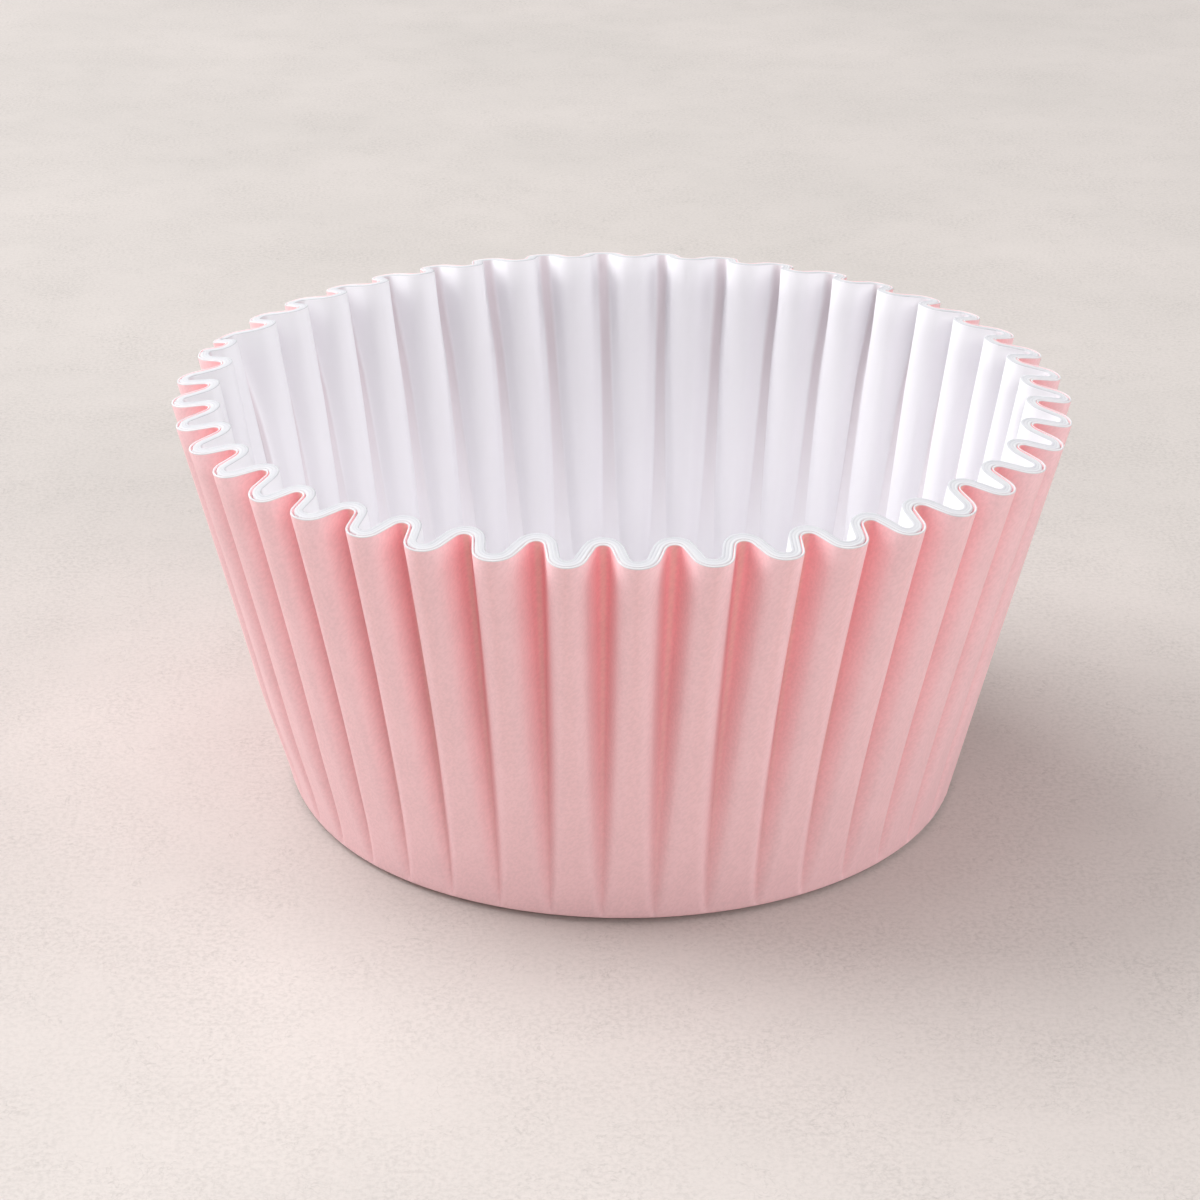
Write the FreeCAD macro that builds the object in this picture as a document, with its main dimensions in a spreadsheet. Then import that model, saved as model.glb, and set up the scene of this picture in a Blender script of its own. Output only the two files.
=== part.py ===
"""Fluted paper candy cup, pressed from one disc of paper.

A flat round base turns up at a tight fold into a leaning wall, and the wall gathers the
disc's spare edge into flutes. Each valley starts as a shallow crease at the fold and grows
in a straight line up to the rim, while the flat land on the crest beside it narrows to a
round ridge. The rim is cut square to the sheet. Millimetres, +Z up, with the origin at the
middle of the base's underside and the cup's axis on Z. One flute's crest faces -Y.
"""

import FreeCAD
import Part
import Sketcher

import os
from math import cos, pi, radians, sin, tan

# Driving dimensions: word, value in mm (or degrees, a count or a share), what it is.
SIZES = [
    ("base_diameter", 32.3, "across the base, over the fold"),
    ("rim_diameter", 41.2, "across the rim, over the crests"),
    ("wall_height", 18.9, "from the table to the rim, at a crest's outer edge"),
    ("sheet_thickness", 0.55, "the paper, everywhere"),
    ("flute_count", 42, "flutes around the wall"),
    ("flute_depth", 1.65, "crest to valley at the rim"),
    ("foot_share", 0.15, "share of that depth where the flutes start"),
    ("flank", 74, "degrees that a flute's side turns out of the wall"),
    ("rim_crease", 0.355, "outside radius in the bottom of a valley at the rim"),
    ("rim_land", 0.04, "half the flat left on a crest or in a valley at the rim"),
    ("foot_crease", 0.04, "radius of the sheet's hollow bends at the foot"),
    ("foot_bend", 0.18, "radius of the sheet's round bends at the foot"),
    ("fold_radius", 0.3, "outside radius of the fold between base and wall"),
    ("fold_height", 0.35, "from the table to the foot of the flutes"),
    ("fold_proud", 0.06, "how far the fold stands out from the foot of the flutes"),
]

# A flute's bends are pressed in flat facets that turn by equal steps.
ROUND_STEPS = 6
HOLLOW_STEPS = 4

START, END = 1, 2
ORIGIN = (-1, START)
UP = FreeCAD.Vector(0, 0, 1)

doc = FreeCAD.newDocument("candy_cup")


def make_sizes():
    """The driving dimensions, each in a cell with its word as alias."""
    sheet = doc.addObject("Spreadsheet::Sheet", "sizes")
    for row, (word, value, meaning) in enumerate(SIZES, start=1):
        sheet.set(f"A{row}", word)
        sheet.set(f"B{row}", str(value))
        sheet.set(f"C{row}", meaning)
        sheet.setAlias(f"B{row}", word)
    doc.recompute()
    return sheet


def make_wall_values():
    """The crests' lean and the slope of the rim's cut, worked out from the sizes."""
    values = doc.addObject("App::VarSet", "wall")
    for word, formula in (
            ("rim_radius", "sizes.rim_diameter / 2"),
            ("foot_radius", "sizes.base_diameter / 2 - sizes.fold_proud"),
            ("rise", "sizes.wall_height - sizes.fold_height"),
            ("lean", "(rim_radius - foot_radius) / rise"),
            ("cut_slope", "lean - sizes.flute_depth * (1 - sizes.foot_share) / 2 / rise")):
        values.addProperty("App::PropertyFloat", word)
        values.setExpression(word, formula)
    doc.recompute()
    return values


def direction(turn):
    """The way out from the cup's axis, or from a bend's centre, at a turn from +Y to +X."""
    return FreeCAD.Vector(sin(turn), cos(turn), 0)


def bend(centre, radius, first, last, steps):
    """Corners round a bend at equal turns. A negative radius is a hollow bend."""
    turns = [first + (last - first) * step / steps for step in range(steps + 1)]
    return [centre + direction(turn) * radius for turn in turns]


def half_flute(height, crest, depth, crease, bends):
    """The sheet's two sides at one height, from the middle of a crest on +Y to a valley.

    The outside has a land, a round bend, a straight flank and a hollow bend, and the
    inside follows a sheet's thickness behind it. The crest's land is as wide as the flank
    leaves it. bends() gives the radii of the outer and inner crest bends and the inner
    valley bend, for the largest that the crest and the valley have room for.
    """
    half = pi / sizes.flute_count
    flank = radians(sizes.flank)
    thickness = sizes.sheet_thickness
    valley = crest - depth
    crest_share, valley_share = tan(flank / 2), tan((flank - half) / 2)

    # where the flats would meet the flank if there were no bends
    corner = ((valley + crease) * cos(flank - half) - crease - crest * cos(flank)) / sin(flank)
    corner_back = corner - thickness * crest_share
    valley_corner = (crease + thickness) * valley_share
    crest_outside, crest_inside, valley_inside = bends(
        corner / crest_share, valley_corner / valley_share)

    out, along = direction(half), direction(half + pi / 2)
    lift = UP * height
    valley_flat = valley_corner - valley_inside * valley_share
    outer_crest = FreeCAD.Vector(corner - crest_outside * crest_share, crest - crest_outside)
    inner_crest = FreeCAD.Vector(corner_back - crest_inside * crest_share,
                                 crest - thickness - crest_inside)
    outer_valley = out * (valley + crease)
    inner_valley = out * (valley - thickness + valley_inside) - along * valley_flat

    outside = bend(outer_crest + lift, crest_outside, 0, flank, ROUND_STEPS)
    outside += bend(outer_valley + lift, -crease, flank, half, HOLLOW_STEPS)
    inside = bend(inner_crest + lift, crest_inside, 0, flank, HOLLOW_STEPS)
    inside += bend(inner_valley + lift, -valley_inside, flank, half, ROUND_STEPS)
    inside.append(out * (valley - thickness) + lift)
    return outside, inside


def foot_bends(crest_room, valley_room):
    """Where the flutes start they are creases, with tight bends beside broad lands."""
    return sizes.foot_bend, sizes.foot_crease, sizes.foot_bend


def rim_bends(crest_room, valley_room):
    """At the rim the bends take all the room but a narrow land."""
    land = sizes.rim_land
    outside = crest_room - land / tan(radians(sizes.flank) / 2)
    return outside, outside - sizes.sheet_thickness, valley_room - land


def cut_off(foot, rim):
    """Where the lines from foot to rim meet the rim's cut, a plane square to the sheet."""
    corners = []
    for low, high in zip(foot, rim):
        line = high - low
        room = sizes.wall_height - low.z + (wall.rim_radius - low.y) * wall.cut_slope
        corners.append(low + line * (room / (line.z + line.y * wall.cut_slope)))
    return corners


def across(corners):
    """A whole flute from valley to valley, with its crest between."""
    return [FreeCAD.Vector(-corner.x, corner.y, corner.z)
            for corner in reversed(corners)] + corners


def around(corners):
    """The corners of each flute in turn, from the flute that faces -Y."""
    turns = [FreeCAD.Rotation(UP, 180 - number * 360 / sizes.flute_count)
             for number in range(sizes.flute_count)]
    return [[turn.multVec(corner) for corner in corners] for turn in turns]


def flat_face(*outlines):
    """A plane face inside the first outline, less what the others enclose."""
    wires = [Part.makePolygon(outline + outline[:1]) for outline in outlines]
    return Part.makeFace(wires, "Part::FaceMakerBullseye")


def make_flutes():
    """The fluted wall from the fold up to the rim.

    Edges that follow each other round the foot and the rim have the same directions, so
    each facet between them is a plane. The wall is closed from those planes because a
    loft would make every one of them a free-form surface.
    """
    crest, depth = wall.foot_radius, sizes.flute_depth * sizes.foot_share
    foot = half_flute(sizes.fold_height, crest, depth, sizes.foot_crease, foot_bends)
    rim = half_flute(sizes.wall_height, wall.rim_radius, sizes.flute_depth,
                     sizes.rim_crease, rim_bends)
    top = [cut_off(low, high) for low, high in zip(foot, rim)]
    outer_foot, inner_foot = [around(across(side)) for side in foot]
    outer_top, inner_top = [around(across(side)) for side in top]
    faces = []
    for lows, highs in ((outer_foot, outer_top), (inner_foot, inner_top)):
        for low, high in zip(lows, highs):
            pairs = list(zip(low, high))
            for (a, b), (c, d) in zip(pairs, pairs[1:]):
                faces.append(flat_face([a, c, d, b]))
    for outer, inner in zip(outer_top, inner_top):
        faces.append(flat_face(outer + inner[::-1]))
    # a flute's first corner is the last one of the flute before it
    faces.append(flat_face(*[[corner for flute in side for corner in flute[1:]]
                             for side in (outer_foot, inner_foot)]))
    flutes = doc.addObject("Part::Feature", "flutes")
    flutes.Label = "fluted wall"
    flutes.Shape = Part.Solid(Part.makeShell(faces))
    flutes.Placement = FreeCAD.Placement()
    return flutes


def origin_feature(body, role):
    """One of a body's own origin planes or axes."""
    for feature in body.Origin.OriginFeatures:
        if feature.Role == role:
            return feature
    raise ValueError(role)


def make_base():
    """The flat disc with the fold round its edge, turned from half of its section."""
    body = doc.addObject("PartDesign::Body", "base")
    sketch = body.newObject("Sketcher::SketchObject", "base_section")
    sketch.AttachmentSupport = [(origin_feature(body, "XZ_Plane"), "")]
    sketch.MapMode = "FlatFace"
    edge = sizes.base_diameter / 2
    flat = edge - sizes.fold_radius
    inside = wall.foot_radius - sizes.sheet_thickness / 2
    corners = [(0, 0), (flat, 0), (edge, sizes.fold_radius), (edge, sizes.fold_height),
               (inside, sizes.fold_height), (inside, sizes.sheet_thickness),
               (0, sizes.sheet_thickness)]
    points = [FreeCAD.Vector(x, y) for x, y in corners]
    circle = Part.Circle(FreeCAD.Vector(flat, sizes.fold_radius), UP, sizes.fold_radius)
    under, fold, side, step, rise, top, middle = sketch.addGeometry([
        Part.LineSegment(points[0], points[1]),
        Part.ArcOfCircle(circle, -pi / 2, 0),
        Part.LineSegment(points[2], points[3]),
        Part.LineSegment(points[3], points[4]),
        Part.LineSegment(points[4], points[5]),
        Part.LineSegment(points[5], points[6]),
        Part.LineSegment(points[6], points[0]),
    ], False)
    Constraint = Sketcher.Constraint
    sketch.addConstraint([
        Constraint("Coincident", under, START, *ORIGIN),
        Constraint("Horizontal", under),
        Constraint("Tangent", under, END, fold, START),
        Constraint("Tangent", fold, END, side, START),
        Constraint("Vertical", side),
        Constraint("Coincident", side, END, step, START),
        Constraint("Horizontal", step),
        Constraint("Coincident", step, END, rise, START),
        Constraint("Vertical", rise),
        Constraint("Coincident", rise, END, top, START),
        Constraint("Horizontal", top),
        Constraint("Coincident", top, END, middle, START),
        Constraint("Coincident", middle, END, under, START),
        Constraint("Vertical", middle),
    ])
    for word, formula, constraint in (
            ("fold_radius", "sizes.fold_radius", ("Radius", fold)),
            ("edge", "sizes.base_diameter / 2", ("DistanceX", *ORIGIN, side, END)),
            ("fold_height", "sizes.fold_height", ("DistanceY", *ORIGIN, side, END)),
            ("inside", "wall.foot_radius - sizes.sheet_thickness / 2",
             ("DistanceX", *ORIGIN, step, END)),
            ("thickness", "sizes.sheet_thickness", ("DistanceY", *ORIGIN, rise, END))):
        value = sketch.evalExpression(formula)
        sketch.addConstraint(Constraint(*constraint, value))
        sketch.renameConstraint(sketch.ConstraintCount - 1, word)
        sketch.setExpression(f"Constraints.{word}", formula)
    turned = body.newObject("PartDesign::Revolution", "turned_base")
    turned.Profile = sketch
    turned.ReferenceAxis = (sketch, ["V_Axis"])
    turned.Angle = 360
    return body


def make_cup(flutes, base):
    """The one sheet: the base's fold runs into the foot of the wall."""
    cup = doc.addObject("Part::Fuse", "cup")
    cup.Label = "cup"
    cup.Base, cup.Tool = base, flutes
    cup.Placement = FreeCAD.Placement()
    return cup


def check(features):
    """Stop before anything is written if part of the document failed."""
    for feature in doc.Objects:
        if "Invalid" in feature.State or "Error" in feature.State:
            raise RuntimeError(f"{feature.Name}: {feature.State}")
    for feature in features:
        if feature.Shape.isNull() or not feature.Shape.isValid():
            raise RuntimeError(f"{feature.Name}: its shape is empty or broken")


sizes = make_sizes()
wall = make_wall_values()
flutes = make_flutes()
base = make_base()
doc.recompute()
cup = make_cup(flutes, base)
doc.recompute()
check([flutes, base, cup])
os.makedirs("parts", exist_ok=True)
for part in (cup,):
    part.Shape.exportStep(f"parts/{part.Label}.step")
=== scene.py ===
"""Fluted paper candy cup: the looks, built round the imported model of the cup.

The cup is drawn as one sheet of laminated paper: pink outside, white inside, with the cut
edges of its plies showing at the rim. Sizes below are in millimetres unless a name says
otherwise, and angles in radians; the mesh is in metres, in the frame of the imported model.
"""

import random
from math import atan, cos, exp, pi, radians, sin, tan

import bmesh
import bpy
from mathutils import Matrix, Vector


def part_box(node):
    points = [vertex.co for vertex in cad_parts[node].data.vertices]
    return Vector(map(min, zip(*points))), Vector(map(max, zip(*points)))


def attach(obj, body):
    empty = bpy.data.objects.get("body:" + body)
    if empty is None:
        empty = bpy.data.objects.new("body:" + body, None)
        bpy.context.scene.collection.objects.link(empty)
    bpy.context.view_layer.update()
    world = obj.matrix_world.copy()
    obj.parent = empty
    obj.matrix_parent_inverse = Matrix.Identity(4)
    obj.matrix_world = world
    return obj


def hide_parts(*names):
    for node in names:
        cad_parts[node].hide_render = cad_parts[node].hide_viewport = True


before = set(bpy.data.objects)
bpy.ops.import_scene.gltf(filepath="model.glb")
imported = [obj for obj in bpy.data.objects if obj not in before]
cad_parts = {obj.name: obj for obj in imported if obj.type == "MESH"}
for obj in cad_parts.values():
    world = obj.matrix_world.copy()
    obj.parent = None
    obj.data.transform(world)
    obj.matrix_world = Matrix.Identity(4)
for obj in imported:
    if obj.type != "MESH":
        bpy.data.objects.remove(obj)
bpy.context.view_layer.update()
low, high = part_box("cup")

MM = 0.001

# The cup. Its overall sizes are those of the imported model.
FLUTES = 42
THICKNESS = 0.55
CUT_SLOPE = 0.2053
CUT_RISE = 0.447    # how far the valleys' ends stand above the crests' at the rim
RIM_RADIUS = -low.y / MM
RIM_HEIGHT = high.z / MM - CUT_RISE
FOOT_HEIGHT = 0.42
FOOT_RADIUS = 16.09
FOLD_RADIUS = 0.16
FOLD_RISE, HALFWAY_RISE = 0.2, 0.08     # how far the base's edge stands off the table
REST_RADIUS = 14.7                      # and where it comes to rest on it
LEAN = (RIM_RADIUS - FOOT_RADIUS) / (RIM_HEIGHT - FOOT_HEIGHT)

# The flutes, at the foot and at the rim.
FOOT_DEPTH, RIM_DEPTH = 0.06, 1.65
FOOT_FLANK, RIM_FLANK = radians(26), radians(74)
FOOT_CREST, RIM_CREST = 0.5, 0.87
FOOT_CREASE, RIM_CREASE = 0.12, 0.36
SHARPEST_BEND = 0.05
DEPTH_POWER, FLANK_POWER = 0.8, 0.45    # how they grow from the foot to the rim
WIDEST_BEND = 0.98                      # of the width that a crest has for its bend

# The cut rim: an outer ply, a slit behind it on some flanks, and three plies inside that.
OUTER_PLY = 0.1
SLIT = 0.07
SLIT_FOOT = 0.975                       # the share of the wall's height where a slit ends
SLIT_FLOOR, SLIT_BACK, SLIT_EDGE = 0.004, 0.006, 0.025
SLIT_START, SLIT_RISE = -0.15, 0.35     # across a flute: 0 its crest, 1 the valley behind
SLIT_END, SLIT_FALL = 0.95, 0.3
SLIT_SIDE, SLIT_SPREAD = 0.2, 0.35      # how far round to a side a flute has to be
LIP = 0.998                             # the share of the height where the cut edge starts
OUTER_BEVEL, INNER_BEVEL = 0.02, 0.03
PLY_GROOVE = 0.02
GROOVE_HALF_WIDTH = 0.03
PLY_GROOVES = ((0.27, 0.6), (0.41, 0.3))    # depth, and how far each follows the slit

# How the paper departs from a perfect pressing.
FILL, FILL_FADE = 0.35, 0.3             # bulk in the creases inside, and where it fades
PRESS_DEPTH, PRESS_FADE = 0.28, 0.3     # the base pressed in on its left side
PRESS_TURN, PRESS_WIDTH = radians(288), radians(24)
FOOT_TURN, FOOT_LEAN = -0.01, -0.04     # the foot turned under the rim
TURN_WANDER = 0.0035                    # spread of the flutes' spacing, and of their radii
CREST_SET_IN, CREST_WANDER, VALLEY_WANDER = -0.03, 0.03, 0.04
BACK_LEAN, BACK_SPREAD = 0.024, 2.8     # the flutes behind, leaning round
BACK_CREST, BACK_VALLEY = 22.6, 23.1
PINCHED = 30                            # the crest pinched against the one before it
PINCH_CREST, PINCH_BEFORE, PINCH_VALLEY = -0.032, 0.014, -0.008
PINCH_OUT = 0.75                        # how far the valley between them is pushed out

# How many steps the mesh takes over half a flute: land, crest bend, flank, valley bend.
LAND_STEPS, CREST_STEPS, FLANK_STEPS, VALLEY_STEPS = 2, 6, 3, 4
HALF_STEPS = LAND_STEPS + CREST_STEPS + FLANK_STEPS + VALLEY_STEPS
AROUND = FLUTES * 2 * HALF_STEPS
HALF_PITCH = pi / FLUTES

# How many steps it takes up the wall, closer together near the foot, and up the fold.
OUTSIDE_LEVELS, INSIDE_LEVELS, LEVEL_POWER = 20, 16, 1.35
LOWEST_INSIDE = 0.01    # the share of the height where the inside meets the cup's floor
FOLD_STEPS = 5

# Radii of the rings that the base is drawn with, and where the press dies out on it.
FIRST_RING, UNDERSIDE_RING, REST_MARGIN = 2, 8, 0.3
FLOOR_RINGS = (15, 12, 6, 2)
PRESS_FLAT, PRESS_REACH = 10, 5

# The camera: a long lens, low in front, aimed at the cup's middle and then nudged a little.
LENS = 90.23
CAMERA_HEIGHT, CAMERA_TURN = radians(27.29), radians(-92.181)
CAMERA_DISTANCE = 7.108 * RIM_RADIUS * MM
AIM_HEIGHT = 0.5 * RIM_RADIUS * MM
NUDGE_LEFT, NUDGE_UP, NUDGE_ROLL = radians(0.397), radians(-0.750), radians(-0.533)

HALF_TABLE = 1.5        # in metres

PINK, WHITE, CUT = 0, 1, 2


def mix(a, b, share):
    return a + (b - a) * share


def ease(share):
    share = min(max(share, 0), 1)
    return share * share * (3 - 2 * share)


def out(turn):
    """Unit vector at a turn from +Y towards +X."""
    return Vector((sin(turn), cos(turn)))


def half_section(share, offset):
    """The sheet's outline from the middle of a crest on +Y to the middle of a valley.

    share is the height, 0 at the foot and 1 at the rim. offset is the depth into the
    sheet from its outside.
    """
    crest = mix(FOOT_RADIUS, RIM_RADIUS, share)
    depth = mix(FOOT_DEPTH, RIM_DEPTH, share ** DEPTH_POWER)
    flank = mix(FOOT_FLANK, RIM_FLANK, share ** FLANK_POWER)
    crest_bend = mix(FOOT_CREST, RIM_CREST, share)
    crease = mix(FOOT_CREASE, RIM_CREASE, share)
    valley = crest - depth
    crest_share = tan(flank / 2)
    corner = ((valley + crease) * cos(flank - HALF_PITCH) - crease
              - crest * cos(flank)) / sin(flank)
    crest_bend = min(crest_bend, WIDEST_BEND * corner / crest_share)
    corner -= offset * crest_share
    bend = max(crest_bend - offset, SHARPEST_BEND)
    land = max(corner - bend * crest_share, 0)
    points = [Vector((land * step / LAND_STEPS, crest - offset)) for step in range(LAND_STEPS)]
    centre = Vector((land, crest - offset - bend))
    points += [centre + out(flank * step / CREST_STEPS) * bend for step in range(CREST_STEPS)]
    crest_end = centre + out(flank) * bend
    centre = out(HALF_PITCH) * (valley + crease)
    bend = crease + offset
    valley_start = centre - out(flank) * bend
    points += [crest_end.lerp(valley_start, step / FLANK_STEPS) for step in range(FLANK_STEPS)]
    points += [centre - out(mix(flank, HALF_PITCH, step / VALLEY_STEPS)) * bend
               for step in range(VALLEY_STEPS + 1)]
    return points


def filled(section, share):
    """The inside of the sheet, where the paper's own bulk fills part of each crease."""
    fill = FILL * ease((1 - share) / FILL_FADE)
    ridge = section[-1].length
    return [point.normalized() * mix(point.length, ridge, fill) for point in section]


def bump(distance, width):
    """A smooth hump: 1 at a distance of 0, nearly 0 at twice the width."""
    return exp(-(distance / width) ** 2)


def press(turn, share):
    """How far the base is pressed in on its left side, fading out up the wall."""
    return PRESS_DEPTH * bump(turn - PRESS_TURN, PRESS_WIDTH) * ease(1 - share / PRESS_FADE)


def twist(turn):
    """How far the foot is turned under the rim: the flutes in front lean a little."""
    return FOOT_TURN + FOOT_LEAN * sin(turn)


def slit_width(flute, across):
    """How far the outer ply stands off the others, 0 to 1, at a place across a flute.

    It opens over the middle of a crest and closes short of the valley behind it, and only
    on flutes that face to a side.
    """
    turn = 2 * pi * flute / FLUTES
    side = sin(turn)
    away = across * (1 if side > 0 else -1)
    where = ease((away - SLIT_START) / SLIT_RISE) * ease((SLIT_END - away) / SLIT_FALL)
    return where * ease((abs(side) - SLIT_SIDE) / SLIT_SPREAD)


dice = random.Random(11)
crest_turns = [dice.gauss(0, TURN_WANDER) for _ in range(FLUTES)]
valley_turns = [dice.gauss(0, TURN_WANDER) for _ in range(FLUTES)]
crest_shifts = [dice.gauss(CREST_SET_IN, CREST_WANDER) for _ in range(FLUTES)]
valley_shifts = [dice.gauss(0, VALLEY_WANDER) for _ in range(FLUTES)]

# The flutes behind lean round by a sixth of a flute, and two on the left are pinched together.
for number in range(FLUTES):
    crest_turns[number] += BACK_LEAN * bump(number - BACK_CREST, BACK_SPREAD)
    valley_turns[number] += BACK_LEAN * bump(number - BACK_VALLEY, BACK_SPREAD)
crest_turns[PINCHED] += PINCH_CREST
crest_turns[PINCHED - 1] += PINCH_BEFORE
valley_turns[PINCHED] += PINCH_VALLEY
valley_shifts[PINCHED] += PINCH_OUT


def place(step, share, section, wide_section, drop):
    """Where a vertex goes: the flute it is on, and the uneven way that paper gathers."""
    number, inside = divmod(step, 2 * HALF_STEPS)
    half = inside - HALF_STEPS
    across = half / HALF_STEPS
    side = 1 if half >= 0 else -1
    point = section[abs(half)].lerp(wide_section[abs(half)], slit_width(number, across))
    valley = (number + (half >= 0)) % FLUTES
    blend = ease(abs(across))
    jitter = mix(crest_turns[number], valley_turns[valley], blend) * share
    shift = mix(crest_shifts[number], valley_shifts[valley], blend) * share
    radius = point.length + shift
    angle = side * Vector((0, 1)).angle(point)
    turn = angle + 2 * pi * number / FLUTES
    turn += jitter + twist(turn) * (1 - share)
    radius -= press(turn, share)
    top = RIM_HEIGHT + (RIM_RADIUS - radius) * CUT_SLOPE
    height = mix(FOOT_HEIGHT, top, share) - drop
    return Vector((sin(turn) * radius, -cos(turn) * radius, height)) * MM


def place_on_circle(step, radius, height):
    """A place on the base or the fold, below the flutes."""
    number, inside = divmod(step, 2 * HALF_STEPS)
    half = inside - HALF_STEPS
    corner = half_section(0, 0)[abs(half)]
    angle = (1 if half >= 0 else -1) * Vector((0, 1)).angle(corner)
    turn = angle + 2 * pi * number / FLUTES
    turn += twist(turn)
    radius -= press(turn, 0) * ease((radius - PRESS_FLAT) / PRESS_REACH)
    return Vector((sin(turn) * radius, -cos(turn) * radius, height)) * MM


def make_cup():
    mesh = bmesh.new()
    step_of = mesh.verts.layers.int.new("step")
    flute = mesh.verts.layers.float.new("flute")
    level = mesh.verts.layers.float.new("level")
    depth = mesh.verts.layers.float.new("depth")
    bmesh.ops.create_circle(mesh, cap_ends=True, segments=AROUND, radius=FIRST_RING * MM)
    for step, vert in enumerate(mesh.verts):
        vert[step_of] = step
        vert[flute] = abs(step % (2 * HALF_STEPS) - HALF_STEPS) / HALF_STEPS
        vert.co = place_on_circle(step, FIRST_RING, 0)
    edges = list(mesh.edges)

    def grow(placing, share, offset, finish):
        """One more ring of faces, with its new edge put where placing says."""
        nonlocal edges
        made = bmesh.ops.extrude_edge_only(mesh, edges=edges)["geom"]
        for item in made:
            if isinstance(item, bmesh.types.BMVert):
                item.co = placing(item[step_of])
                item[level] = share
                item[depth] = offset / THICKNESS
            elif isinstance(item, bmesh.types.BMFace):
                item.material_index = finish
                item.smooth = True
        edges = [item for item in made if isinstance(item, bmesh.types.BMEdge)
                 and item.is_boundary]

    def ring(radius, height, finish):
        grow(lambda step: place_on_circle(step, radius, height), 0, 0, finish)

    def sheet(share, offset, finish, drop=0.0, widen=0.0):
        section = half_section(share, offset)
        if offset == THICKNESS:
            section = filled(section, share)
        wide = half_section(share, offset + SLIT * widen) if widen else section
        grow(lambda step: place(step, share, section, wide, drop), share, offset, finish)

    # underside, its edge lifted a little, and the crisp fold up to the leaning wall
    upright = pi / 2 - atan(LEAN)
    fold_end = FOLD_RISE + FOLD_RADIUS * (1 - cos(upright))
    fold_start = FOOT_RADIUS - (FOOT_HEIGHT - fold_end) * LEAN - FOLD_RADIUS * sin(upright)
    for radius in (UNDERSIDE_RING, REST_RADIUS - REST_MARGIN, REST_RADIUS):
        ring(radius, 0, PINK)
    ring(mix(REST_RADIUS, fold_start, 0.5), HALFWAY_RISE, PINK)
    for step in range(FOLD_STEPS + 1):
        angle = upright * step / FOLD_STEPS
        ring(fold_start + FOLD_RADIUS * sin(angle),
             FOLD_RISE + FOLD_RADIUS * (1 - cos(angle)), PINK)

    # outside of the wall
    for number in range(OUTSIDE_LEVELS + 1):
        sheet((number / OUTSIDE_LEVELS) ** LEVEL_POWER * LIP, 0, PINK)

    # the rim: the outer ply, the slit behind it, and the plies inside that
    sheet(1, OUTER_BEVEL, CUT)
    sheet(1, OUTER_PLY - OUTER_BEVEL, CUT)
    sheet(LIP, OUTER_PLY, PINK)
    sheet(SLIT_FOOT, OUTER_PLY, PINK)
    sheet(SLIT_FOOT, OUTER_PLY + SLIT_FLOOR, PINK, widen=1)
    sheet(LIP, OUTER_PLY + SLIT_BACK, WHITE, widen=1)
    sheet(1, OUTER_PLY + SLIT_EDGE, CUT, widen=1)
    for groove, widen in PLY_GROOVES:
        sheet(1, groove - GROOVE_HALF_WIDTH, CUT, widen=widen)
        sheet(1, groove, CUT, drop=PLY_GROOVE, widen=widen)
        sheet(1, groove + GROOVE_HALF_WIDTH, CUT, widen=widen)
    sheet(1, THICKNESS - INNER_BEVEL, CUT)
    sheet(LIP, THICKNESS, CUT)

    # inside of the wall, and the floor of the cup
    for number in range(INSIDE_LEVELS - 1, 0, -1):
        sheet((number / INSIDE_LEVELS) ** LEVEL_POWER, THICKNESS, WHITE)
    sheet(LOWEST_INSIDE, THICKNESS, WHITE)
    for radius in FLOOR_RINGS:
        ring(radius, THICKNESS, WHITE)
    bmesh.ops.holes_fill(mesh, edges=edges, sides=0)
    discs = [face for face in mesh.faces if len(face.verts) > 4]
    for face in discs:
        face.material_index = PINK if face.calc_center_median().z < THICKNESS / 2 * MM else WHITE
    bmesh.ops.poke(mesh, faces=discs)
    bmesh.ops.recalc_face_normals(mesh, faces=mesh.faces)
    data = bpy.data.meshes.new("cup_paper")
    mesh.to_mesh(data)
    mesh.free()
    piece = bpy.data.objects.new("cup_paper", data)
    bpy.context.scene.collection.objects.link(piece)
    return piece


def linear(colour):
    """An sRGB hex colour as the linear values that a shader takes."""
    parts = [int(colour[first:first + 2], 16) / 255 for first in (0, 2, 4)]
    return [part / 12.92 if part <= 0.04045 else ((part + 0.055) / 1.055) ** 2.4
            for part in parts] + [1]


def new_material(name):
    material = bpy.data.materials.new(name)
    material.use_nodes = True
    return material, material.node_tree, material.node_tree.nodes["Principled BSDF"]


def add(tree, kind, inputs, out=0, **settings):
    """One node with its settings, and its inputs given as values or as sockets to link."""
    made = tree.nodes.new("ShaderNode" + kind)
    for name, value in settings.items():
        setattr(made, name, value)
    for name, value in inputs.items():
        if isinstance(value, bpy.types.NodeSocket):
            tree.links.new(value, made.inputs[name])
        else:
            made.inputs[name].default_value = value
    return made.outputs[out]


def colour_stops(ramp, stops):
    """Put colours along a ramp: pairs of a place from 0 to 1 and an sRGB hex colour."""
    elements = ramp.node.color_ramp.elements
    while len(elements) < len(stops):
        elements.new(0.5)
    for element, (where, colour) in zip(elements, stops):
        element.position = where
        element.color = linear(colour)


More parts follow.
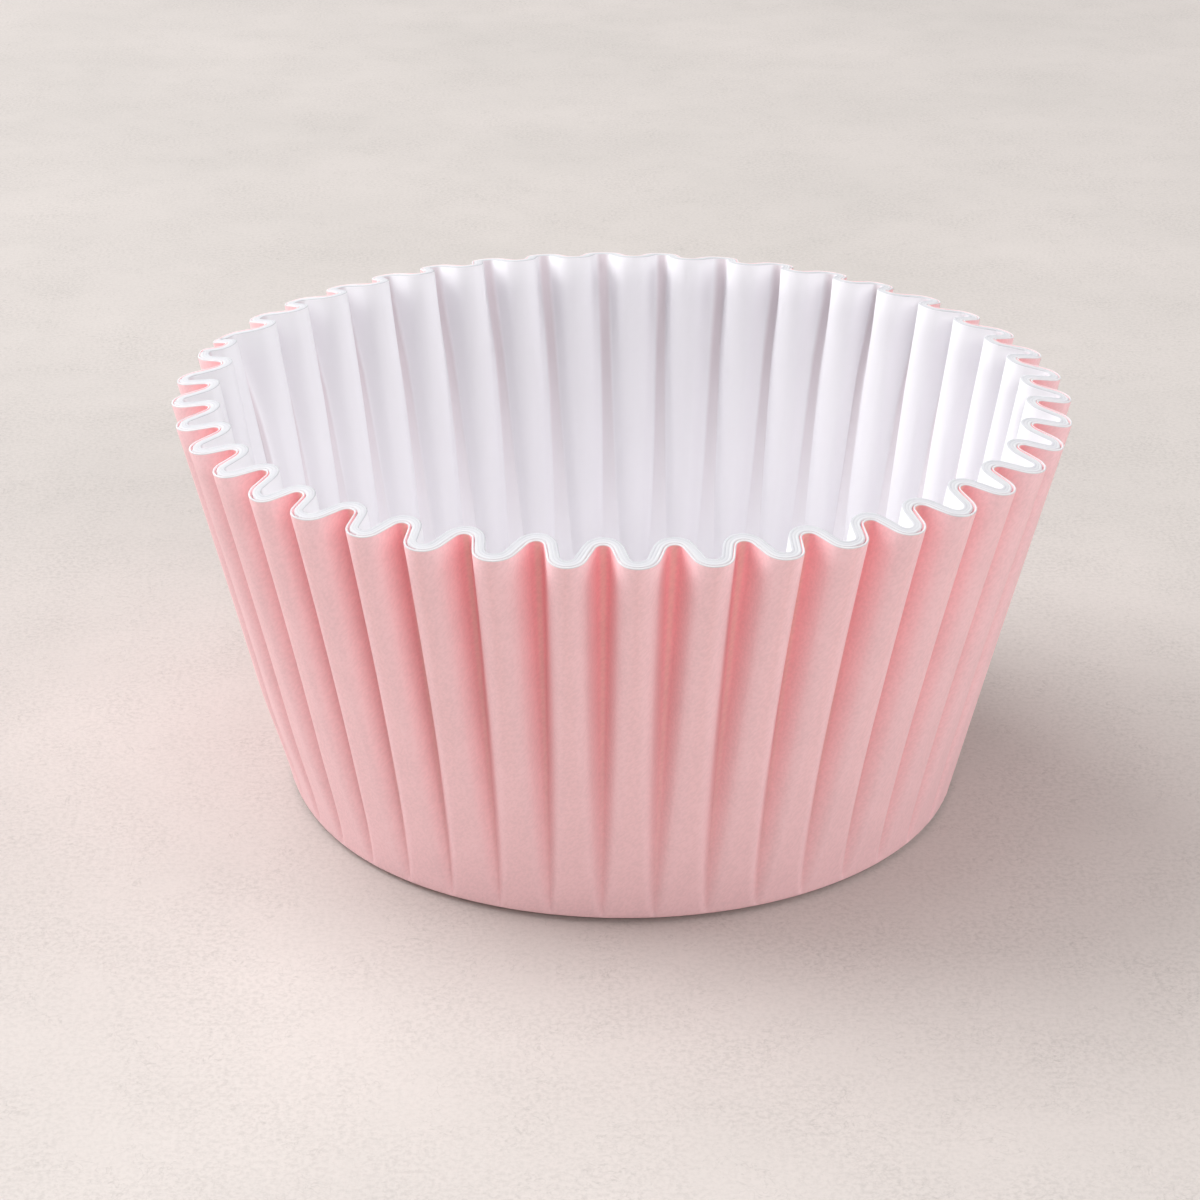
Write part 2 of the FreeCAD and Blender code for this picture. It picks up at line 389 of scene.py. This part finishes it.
def pink_paper():
    """Dyed greaseproof paper, calendered: a soft satin coral pink with a felt of fine fibres all
    over. Painted shade makes the valleys a deeper, darker pink and greys the middle of each
    crest; a painted light pales the flat bottom of each valley."""
    material, tree, shader = new_material("dyed_greaseproof_paper")
    spot = add(tree, "TexCoord", {}, "Object")
    across = add(tree, "Attribute", {}, "Fac", attribute_name="flute")
    level = add(tree, "Attribute", {}, "Fac", attribute_name="level")
    # painted shade: the valleys are mixed towards a deeper, darker pink, less so towards the
    # foot
    valley = add(tree, "MapRange", {"Value": across, "From Min": 0.46, "From Max": 0.9},
                 interpolation_type="SMOOTHSTEP")
    upper = add(tree, "Math", {0: level, 1: 0.5}, operation="POWER")
    valley = add(tree, "Math", {0: valley, 1: upper}, operation="MULTIPLY")
    # painted shade: the middle of each crest is greyed, most towards the rim
    crest_centre_shade = add(tree, "MapRange", {"Value": across, "From Min": 0.36, "From Max": 0.05},
                 interpolation_type="SMOOTHSTEP")
    crest_centre_shade = add(tree, "Math", {0: crest_centre_shade, 1: level}, operation="MULTIPLY")
    # painted light: the flat very bottom of a valley is lit to a warmer, paler strip
    valley_floor_light = add(tree, "MapRange", {"Value": across, "From Min": 0.86, "From Max": 0.98,
                                    "To Max": 0.55}, interpolation_type="SMOOTHSTEP")
    valley_floor_light = add(tree, "Math", {0: valley_floor_light, 1: level}, operation="MULTIPLY")
    crest = add(tree, "Mix", {0: crest_centre_shade, 6: linear("fed3d7"), 7: linear("fbcdd0")}, 2,
                data_type="RGBA")
    # painted shade: the pink the valleys are darkened to, paler near the rim
    valley_shade = add(tree, "ValToRGB", {"Fac": level})
    colour_stops(valley_shade, ((0.1, "e6a1a4"), (0.5, "ea9b9f"), (0.9, "faa6ac")))
    dyed = add(tree, "Mix", {0: valley, 6: crest, 7: valley_shade}, 2, data_type="RGBA")
    dyed = add(tree, "Mix", {0: valley_floor_light, 6: dyed, 7: linear("ecb9ae")}, 2, data_type="RGBA")
    # Fibres lie slantwise up the sheet, twice as long as they are wide. Real ones are about
    # 0.03 mm wide, too fine to show, so these are drawn coarser.
    slant = add(tree, "Mapping", {"Vector": spot, "Rotation": (0, radians(-50), 0),
                                  "Scale": (2, 1, 1)}, vector_type="TEXTURE")
    fibre = add(tree, "TexNoise", {"Vector": slant, "Scale": 1 / (0.11 * MM), "Detail": 1.0,
                                   "Roughness": 0.6})
    cloud = add(tree, "TexNoise", {"Vector": spot, "Scale": 1 / (2.2 * MM)})
    felt = add(tree, "MapRange", {"Value": fibre, "From Min": 0.35, "From Max": 0.65,
                                  "To Min": 0.955, "To Max": 1.025})
    patch = add(tree, "MapRange", {"Value": cloud, "From Min": 0.3, "From Max": 0.7,
                                   "To Min": 0.98, "To Max": 1.02})
    shade = add(tree, "Math", {0: felt, 1: patch}, operation="MULTIPLY")
    dyed = add(tree, "VectorMath", {0: dyed, "Scale": shade}, operation="SCALE")
    tree.links.new(dyed, shader.inputs["Base Color"])
    raised = add(tree, "Bump", {"Height": fibre, "Strength": 0.25, "Distance": 0.012 * MM})
    tree.links.new(raised, shader.inputs["Normal"])
    shader.inputs["Roughness"].default_value = 0.5
    shader.inputs["Specular IOR Level"].default_value = 0.35
    return material


def white_paper():
    """Bleached greaseproof paper: a cool white with a faint satin sheen. A painted shade, a
    pinkish grey, darkens it where the sheet is creased tight into a crest, and faint pleat lines
    run up the wall."""
    material, tree, shader = new_material("bleached_greaseproof_paper")
    spot = add(tree, "TexCoord", {}, "Object")
    across = add(tree, "Attribute", {}, "Fac", attribute_name="flute")
    level = add(tree, "Attribute", {}, "Fac", attribute_name="level")
    # painted shade: the creases at the crests darken to a pinkish grey, fading out towards the
    # foot
    crease_shade = add(tree, "MapRange", {"Value": across, "From Min": 0.52, "From Max": 0.18},
                  interpolation_type="SMOOTHSTEP")
    upper = add(tree, "MapRange", {"Value": level, "From Min": 0.2, "From Max": 0.75})
    crease_shade = add(tree, "Math", {0: crease_shade, 1: upper}, operation="MULTIPLY")
    # the lines follow the wall's lean: a noise on the direction from the cup's middle
    flat = add(tree, "VectorMath", {0: spot, 1: (1, 1, 0)}, operation="MULTIPLY")
    flat = add(tree, "VectorMath", {0: flat}, operation="NORMALIZE")
    flat = add(tree, "VectorMath", {0: flat, "Scale": RIM_RADIUS * MM}, operation="SCALE")
    risen = add(tree, "VectorMath", {0: spot, 1: (0, 0, 0.04), 2: flat},
                operation="MULTIPLY_ADD")
    lines = add(tree, "TexNoise", {"Vector": risen, "Scale": 1 / (0.55 * MM)})
    wall = add(tree, "MapRange", {"Value": level, "From Min": 0.0, "From Max": 0.15})
    lines = add(tree, "Math", {0: lines, 1: wall}, operation="MULTIPLY")
    shade = add(tree, "MapRange", {"Value": lines, "From Min": 0.3, "From Max": 0.7,
                                   "To Min": 0.985, "To Max": 1.0})
    # the plain white, mixed to the painted crease shade
    paper = add(tree, "Mix", {0: crease_shade, 6: linear("eeecf0"), 7: linear("d9cfd4")}, 2,
                data_type="RGBA")
    paper = add(tree, "VectorMath", {0: paper, "Scale": shade}, operation="SCALE")
    tree.links.new(paper, shader.inputs["Base Color"])
    raised = add(tree, "Bump", {"Height": lines, "Strength": 0.25, "Distance": 0.05 * MM})
    tree.links.new(raised, shader.inputs["Normal"])
    shader.inputs["Roughness"].default_value = 0.6
    shader.inputs["Specular IOR Level"].default_value = 0.2
    return material


def cut_edge():
    """The sheet's cut edge: matt white fibre, its plies parted by faint grey lines."""
    material, tree, shader = new_material("cut_paper_edge")
    spot = add(tree, "TexCoord", {}, "Object")
    depth = add(tree, "Attribute", {}, "Fac", attribute_name="depth")
    wander = add(tree, "TexNoise", {"Vector": spot, "Scale": 1 / (1.2 * MM)})
    wander = add(tree, "MapRange", {"Value": wander, "To Min": -0.06, "To Max": 0.06})
    depth = add(tree, "Math", {0: depth, 1: wander})
    plies = add(tree, "ValToRGB", {"Fac": depth})
    colour_stops(plies, ((0.0, "e6e6e8"), (0.18, "dddde0"), (0.23, "cdcdd2"), (0.29, "d9d9dc"),
                         (0.46, "d5d5d8"), (0.51, "c5c5cb"), (0.57, "d0d0d4"), (0.72, "cdcdd1"),
                         (0.77, "bebec5"), (0.83, "c9c9ce"), (1.0, "c6c6cb")))
    patchy = add(tree, "TexNoise", {"Vector": spot, "Scale": 1 / (0.8 * MM)})
    patchy = add(tree, "MapRange", {"Value": patchy, "From Min": 0.35, "From Max": 0.65,
                                    "To Min": 0.3, "To Max": 0.9})
    fibre = add(tree, "Mix", {0: patchy, 6: linear("d0d0d4"), 7: plies}, 2, data_type="RGBA")
    tree.links.new(fibre, shader.inputs["Base Color"])
    shader.inputs["Roughness"].default_value = 0.8
    shader.inputs["Specular IOR Level"].default_value = 0.2
    return material


def plaster():
    """A pale troweled plaster table: soft clouds, a fine grain and a few curled hair marks.
    A painted fall-off of light makes it a shade darker towards the back and the right."""
    material, tree, shader = new_material("pale_plaster")
    spot = add(tree, "TexCoord", {}, "Object")
    clouds = add(tree, "TexNoise", {"Vector": spot, "Scale": 1 / (25 * MM), "Detail": 5.0,
                                    "Roughness": 0.6})
    plain = add(tree, "ValToRGB", {"Fac": clouds})
    colour_stops(plain, ((0.3, "c7c1bd"), (0.7, "d0c9c5")))
    # painted light: the table darkens towards the back and the right, as the light falls off
    back = add(tree, "VectorMath", {0: spot, 1: (0.25, 0.97, 0)}, "Value",
               operation="DOT_PRODUCT")
    back = add(tree, "MapRange", {"Value": back, "From Min": -0.012, "From Max": 0.025,
                                  "To Min": 1, "To Max": 0.91}, interpolation_type="SMOOTHSTEP")
    grain = add(tree, "TexNoise", {"Vector": spot, "Scale": 1 / (0.24 * MM), "Detail": 2.0,
                                   "Roughness": 0.7})
    stains = add(tree, "TexNoise", {"Vector": spot, "Scale": 1 / (7 * MM), "Detail": 5.0,
                                    "Roughness": 0.65})
    # the grain is darker where the trowel pressed, and faint between
    pressed = add(tree, "MapRange", {"Value": stains, "From Min": 0.4, "From Max": 0.62,
                                     "To Min": 0.96, "To Max": 0.885})
    speck = add(tree, "MapRange", {"Value": grain, "From Min": 0.36, "From Max": 0.58,
                                   "To Min": pressed, "To Max": 1.018})
    curl = add(tree, "TexNoise", {"Vector": spot, "Scale": 1 / (1.1 * MM), "Distortion": 2.0})
    curl = add(tree, "Math", {0: curl, 1: 0.5}, operation="SUBTRACT")
    curl = add(tree, "Math", {0: curl}, operation="ABSOLUTE")
    hair = add(tree, "MapRange", {"Value": curl, "From Min": 0.02, "From Max": 0.0})
    patchy = add(tree, "TexNoise", {"Vector": spot, "Scale": 1 / (3 * MM)})
    patchy = add(tree, "MapRange", {"Value": patchy, "From Min": 0.42, "From Max": 0.6,
                                    "To Max": 0.13})
    hair = add(tree, "Math", {0: hair, 1: patchy}, operation="MULTIPLY")
    speck = add(tree, "Math", {0: speck, 1: hair}, operation="SUBTRACT")
    shade = add(tree, "Math", {0: speck, 1: back}, operation="MULTIPLY")
    plain = add(tree, "VectorMath", {0: plain, "Scale": shade}, operation="SCALE")
    tree.links.new(plain, shader.inputs["Base Color"])
    raised = add(tree, "Bump", {"Height": grain, "Strength": 0.35, "Distance": 0.06 * MM})
    tree.links.new(raised, shader.inputs["Normal"])
    shader.inputs["Roughness"].default_value = 0.85
    shader.inputs["Specular IOR Level"].default_value = 0.2
    return material


def make_floor():
    mesh = bmesh.new()
    bmesh.ops.create_grid(mesh, x_segments=1, y_segments=1, size=HALF_TABLE)
    data = bpy.data.meshes.new("table")
    mesh.to_mesh(data)
    mesh.free()
    floor = bpy.data.objects.new("table", data)
    bpy.context.scene.collection.objects.link(floor)
    data.materials.append(plaster())
    return floor


def make_camera():
    """The camera stands low in front of the cup, a little to one side of a crest."""
    data = bpy.data.cameras.new("camera")
    data.sensor_width = 36
    data.lens = LENS
    camera = bpy.data.objects.new("camera", data)
    bpy.context.scene.collection.objects.link(camera)
    camera.location = Vector((cos(CAMERA_HEIGHT) * cos(CAMERA_TURN),
                              cos(CAMERA_HEIGHT) * sin(CAMERA_TURN),
                              sin(CAMERA_HEIGHT))) * CAMERA_DISTANCE
    ahead = (Vector((0, 0, AIM_HEIGHT)) - camera.location).normalized()
    right = ahead.cross(Vector((0, 0, 1))).normalized()
    up = right.cross(ahead)
    for axis, amount in ((up, NUDGE_LEFT), (right, NUDGE_UP), (ahead, NUDGE_ROLL)):
        spin = Matrix.Rotation(amount, 3, axis)
        ahead, right, up = spin @ ahead, spin @ right, spin @ up
    camera.rotation_euler = Matrix((right, up, -ahead)).transposed().to_euler()
    bpy.context.scene.camera = camera


def add_light(name, spot, size, power, colour, tall=None):
    """An oval soft light at a spot, in metres and watts, facing the middle of the base."""
    data = bpy.data.lights.new(name, "AREA")
    data.shape = "ELLIPSE"
    data.size = size
    data.size_y = tall or size
    data.energy = power
    data.color = linear(colour)[:3]
    light = bpy.data.objects.new(name, data)
    bpy.context.scene.collection.objects.link(light)
    light.location = spot
    light.rotation_euler = Vector(spot).to_track_quat("Z", "Y").to_euler()


def make_light():
    """Soft studio light: the main lamp stands high behind on the left, the others fill."""
    world = bpy.data.worlds.new("studio")
    bpy.context.scene.world = world
    world.use_nodes = True
    world.node_tree.nodes["Background"].inputs["Strength"].default_value = 0.0
    add_light("key", (-0.42, 0.25, 0.46), 0.75, 5.35, "ffffff")
    add_light("left", (-0.55, 0, 0.36), 0.75, 1.4, "ffffff")
    add_light("right", (0.56, 0, 0.31), 0.6, 1.95, "ffffff")
    add_light("front", (0.12, -0.55, 0.34), 0.6, 1.25, "fffcfa", 0.2)
    add_light("front_low", (0.08, -0.5, 0.055), 0.6, 0.22, "ffffff", 0.08)
    add_light("top", (0, 0, 0.7), 0.45, 1.65, "ffffff")
    bpy.context.scene.view_settings.view_transform = "Standard"


cup = make_cup()
for material in (pink_paper(), white_paper(), cut_edge()):
    cup.data.materials.append(material)
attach(cup, "root")
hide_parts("cup")
make_floor()
make_camera()
make_light()
